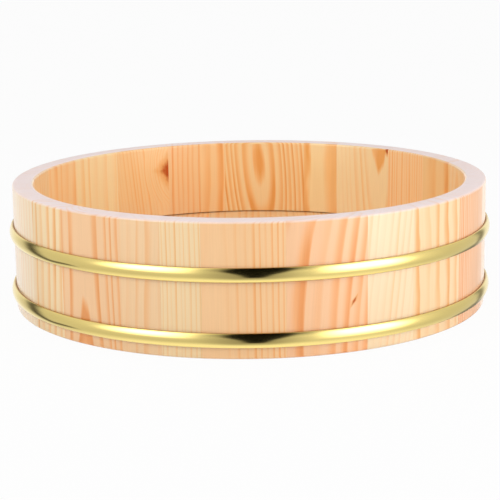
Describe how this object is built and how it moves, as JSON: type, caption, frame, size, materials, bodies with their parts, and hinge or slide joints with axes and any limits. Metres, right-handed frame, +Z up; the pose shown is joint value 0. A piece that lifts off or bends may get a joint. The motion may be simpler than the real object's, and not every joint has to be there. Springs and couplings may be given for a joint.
{
  "type": "sushi rice tub",
  "caption": "Low round coopered wooden tub with pinned staves, a boarded bottom set in a groove and half-round brass hoops, for mixing and cooling sushi rice.",
  "frame": {"origin": "centre of the foot, on the surface that the tub stands on", "axes": "+Z up along the tub's axis, front towards -Y"},
  "size_m": [0.3364, 0.3364, 0.086],
  "materials": {
    "stave_wood": "clear-lacquered pale softwood with plain vertical grain",
    "bottom_wood": "clear-lacquered pale softwood boards",
    "hoop_brass": "polished brass",
    "pin_bamboo": "plain split bamboo"
  },
  "bodies": {
    "root": {"stave_01": "stave_wood", "stave_02": "stave_wood", "stave_03": "stave_wood", "stave_04": "stave_wood", "stave_05": "stave_wood", "stave_06": "stave_wood", "stave_07": "stave_wood", "stave_08": "stave_wood", "stave_09": "stave_wood", "stave_10": "stave_wood", "stave_11": "stave_wood", "stave_12": "stave_wood", "stave_13": "stave_wood", "stave_14": "stave_wood", "stave_15": "stave_wood", "stave_16": "stave_wood", "stave_17": "stave_wood", "stave_18": "stave_wood", "stave_19": "stave_wood", "stave_20": "stave_wood", "stave_21": "stave_wood", "stave_22": "stave_wood", "stave_23": "stave_wood", "stave_24": "stave_wood", "bottom_board_1": "bottom_wood", "bottom_board_2": "bottom_wood", "bottom_board_3": "bottom_wood", "bottom_board_4": "bottom_wood", "bottom_board_5": "bottom_wood", "upper_hoop": "hoop_brass", "lower_hoop": "hoop_brass", "stave_pin_01": "pin_bamboo", "stave_pin_02": "pin_bamboo", "stave_pin_03": "pin_bamboo", "stave_pin_04": "pin_bamboo", "stave_pin_05": "pin_bamboo", "stave_pin_06": "pin_bamboo", "stave_pin_07": "pin_bamboo", "stave_pin_08": "pin_bamboo", "stave_pin_09": "pin_bamboo", "stave_pin_10": "pin_bamboo", "stave_pin_11": "pin_bamboo", "stave_pin_12": "pin_bamboo", "stave_pin_13": "pin_bamboo", "stave_pin_14": "pin_bamboo", "stave_pin_15": "pin_bamboo", "stave_pin_16": "pin_bamboo", "stave_pin_17": "pin_bamboo", "stave_pin_18": "pin_bamboo", "stave_pin_19": "pin_bamboo", "stave_pin_20": "pin_bamboo", "stave_pin_21": "pin_bamboo", "stave_pin_22": "pin_bamboo", "stave_pin_23": "pin_bamboo", "stave_pin_24": "pin_bamboo", "board_pin_1": "pin_bamboo", "board_pin_2": "pin_bamboo", "board_pin_3": "pin_bamboo", "board_pin_4": "pin_bamboo"}
  },
  "joints": []
}
